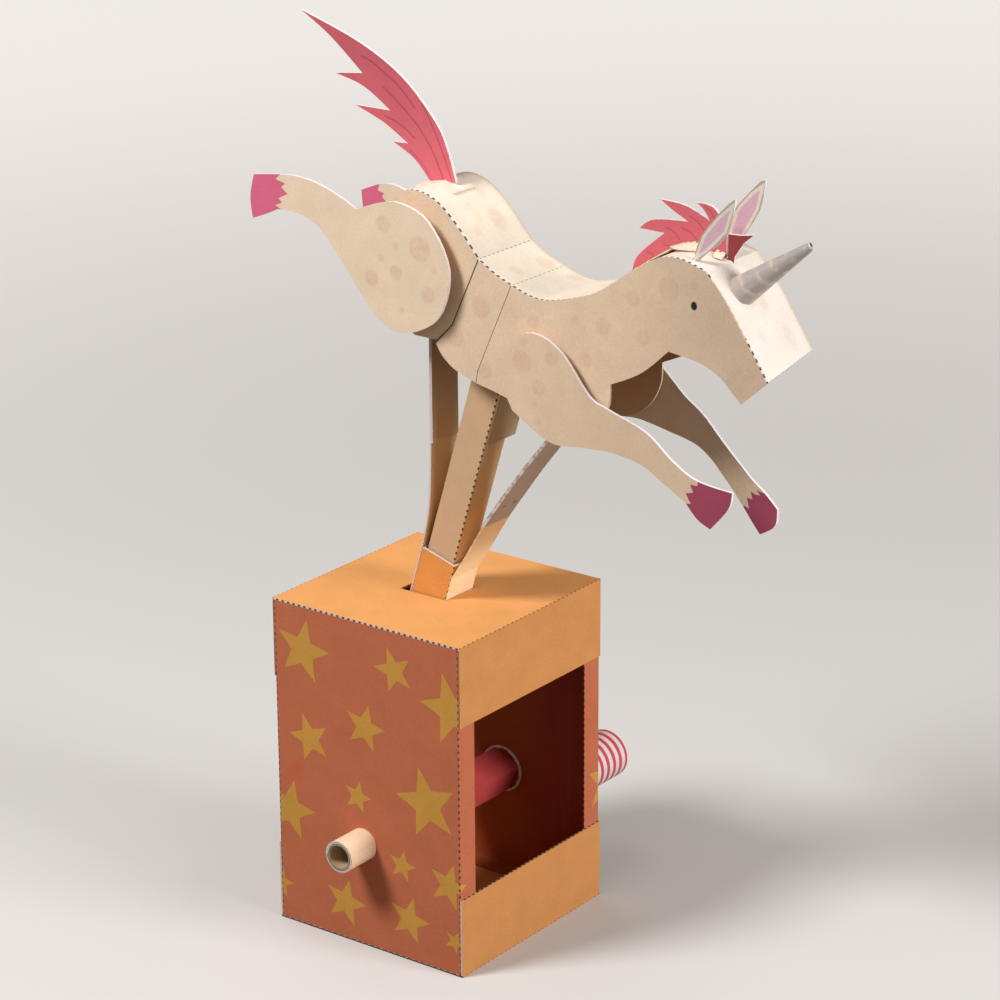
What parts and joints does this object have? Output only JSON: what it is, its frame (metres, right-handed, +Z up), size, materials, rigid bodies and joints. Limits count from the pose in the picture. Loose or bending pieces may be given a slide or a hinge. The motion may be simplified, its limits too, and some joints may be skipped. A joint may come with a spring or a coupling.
{
  "type": "paper crank automaton",
  "caption": "Card crank automaton: a leaping unicorn on a push rod through a sleeve in a star-printed card box, with a striped rolled handle.",
  "frame": {"origin": "middle of the underside of the box's base, on the table", "axes": "+X towards the unicorn's head, -Y towards the viewer (the rolled shaft end's side), +Z up"},
  "size_m": [0.1875, 0.1204, 0.2745],
  "materials": {
    "star_card": "matte printed card",
    "orange_card": "matte printed card",
    "sleeve_card": "matte printed card",
    "cream_roll": "matte printed card",
    "red_card": "matte printed card",
    "striped_roll": "matte printed card",
    "strip_card": "matte printed card",
    "rod_card": "matte printed card",
    "side_card": "matte printed card",
    "back_card": "matte printed card",
    "leg_card": "matte printed card",
    "tail_card": "matte printed card",
    "mane_card": "matte printed card",
    "forelock_card": "matte printed card",
    "ear_card": "matte printed card",
    "horn_paper": "satin coated paper"
  },
  "bodies": {
    "box": {"front_wall": "star_card", "back_wall": "star_card", "top_panel": "orange_card", "base_panel": "orange_card", "pivot_ear_near": "orange_card", "pivot_ear_far": "orange_card"},
    "crank": {"crank_shaft_near": "cream_roll", "crank_arm_near": "red_card", "crank_arm_far": "red_card", "crank_shaft_far": "red_card", "handle_arm": "red_card", "handle_pin": "red_card"},
    "grip": {"handle_grip": "striped_roll"},
    "sleeve": {"guide_sleeve": "sleeve_card", "pivot_pin_near": "cream_roll", "pivot_pin_far": "cream_roll", "hind_strip": "strip_card", "hind_doubler": "strip_card", "front_strip": "strip_card", "front_doubler": "strip_card"},
    "unicorn": {"push_rod": "rod_card", "rod_ring": "rod_card", "crank_pin": "red_card", "rod_tongue": "rod_card", "rod_web": "rod_card", "rump_side_near": "side_card", "rump_side_far": "side_card", "rump_strip": "back_card", "saddle_side_near": "side_card", "saddle_side_far": "side_card", "saddle_strip": "back_card", "neck_side_near": "side_card", "neck_side_far": "side_card", "neck_strip": "back_card", "face_strip": "back_card", "muzzle_strip": "back_card", "tail": "tail_card", "mane": "mane_card", "forelock": "forelock_card", "ear_near": "ear_card", "ear_far": "ear_card", "horn": "horn_paper"},
    "hind_legs": {"hind_axle": "cream_roll", "hind_arm": "rod_card", "hind_leg_near": "leg_card", "hind_leg_far": "leg_card"},
    "front_legs": {"front_axle": "cream_roll", "front_arm": "rod_card", "front_leg_near": "leg_card", "front_leg_far": "leg_card"}
  },
  "joints": [
    {"name": "crank_turn", "type": "hinge", "parent": "box", "child": "crank", "pos_m": [-0.002, 0, 0.0335], "axis": [0, 1, 0], "continuous": true},
    {"name": "grip_spin", "type": "hinge", "parent": "crank", "child": "grip", "pos_m": [0.01038, 0, 0.02786], "axis": [0, 1, 0], "continuous": true},
    {"name": "sleeve_rock", "type": "hinge", "parent": "box", "child": "sleeve", "pos_m": [0, 0, 0.1003], "axis": [0, 1, 0], "range_deg": [-30.5, 0]},
    {"name": "rod_slide", "type": "slide", "parent": "sleeve", "child": "unicorn", "axis": [0.2898, 0, 0.9571], "range_m": [-0.0222, 0.0129], "deforming": ["hind_strip", "hind_doubler", "front_strip", "front_doubler"]},
    {"name": "hind_swing", "type": "hinge", "parent": "unicorn", "child": "hind_legs", "pos_m": [0.01009, 0, 0.20806], "axis": [0, 1, 0], "range_deg": [-19, 32]},
    {"name": "front_swing", "type": "hinge", "parent": "unicorn", "child": "front_legs", "pos_m": [0.04911, 0, 0.1831], "axis": [0, 1, 0], "range_deg": [-32, 19]}
  ],
  "couplings": [
    {"joint": "hind_swing", "follows": "rod_slide", "rad_per_m": -24.43},
    {"joint": "front_swing", "follows": "rod_slide", "rad_per_m": 24.43}
  ]
}
